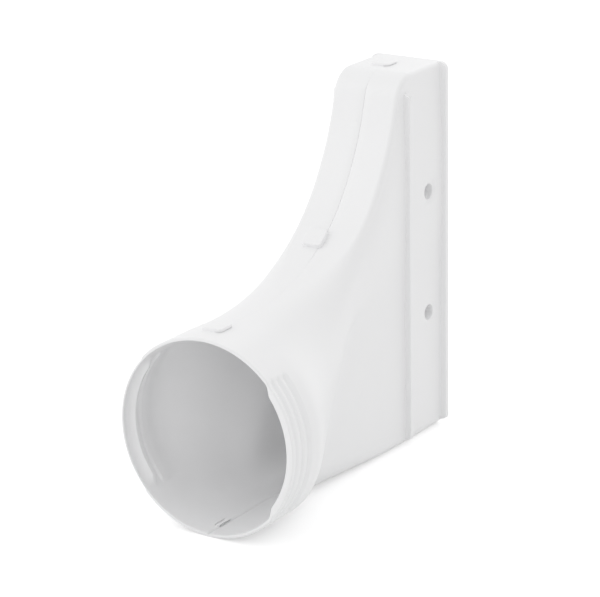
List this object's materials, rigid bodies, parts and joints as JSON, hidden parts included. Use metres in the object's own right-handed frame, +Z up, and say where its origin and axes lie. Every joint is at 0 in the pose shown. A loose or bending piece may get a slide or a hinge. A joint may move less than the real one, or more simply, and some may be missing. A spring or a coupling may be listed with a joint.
{
  "type": "duct adapter",
  "caption": "Moulded duct adapter: a round hose collar with thread arcs curving into a tall flat outlet with side channels, in two clipped halves.",
  "frame": {"origin": "on the floor plane, under the middle of the part's box", "axes": "+X across to the right half, +Y from the round mouth to the open flat back, +Z up along the tall outlet"},
  "size_m": [0.15, 0.286, 0.2969],
  "materials": {
    "shell_plastic": "satin moulded",
    "clip_plastic": "satin moulded"
  },
  "bodies": {
    "left_half": {"left_collar": "shell_plastic", "left_transition": "shell_plastic", "left_housing": "shell_plastic", "left_rib": "shell_plastic", "top_socket": "clip_plastic", "slope_socket": "clip_plastic", "collar_top_socket": "clip_plastic", "collar_bottom_socket": "clip_plastic"},
    "right_half": {"right_collar": "shell_plastic", "right_transition": "shell_plastic", "right_housing": "shell_plastic", "right_rib": "shell_plastic", "top_tongue": "clip_plastic", "slope_tongue": "clip_plastic", "collar_top_tongue": "clip_plastic", "collar_bottom_tongue": "clip_plastic"}
  },
  "joints": [
    {"name": "halves_apart", "type": "slide", "parent": "left_half", "child": "right_half", "axis": [1, 0, 0], "range_m": [0, 0.06]}
  ]
}
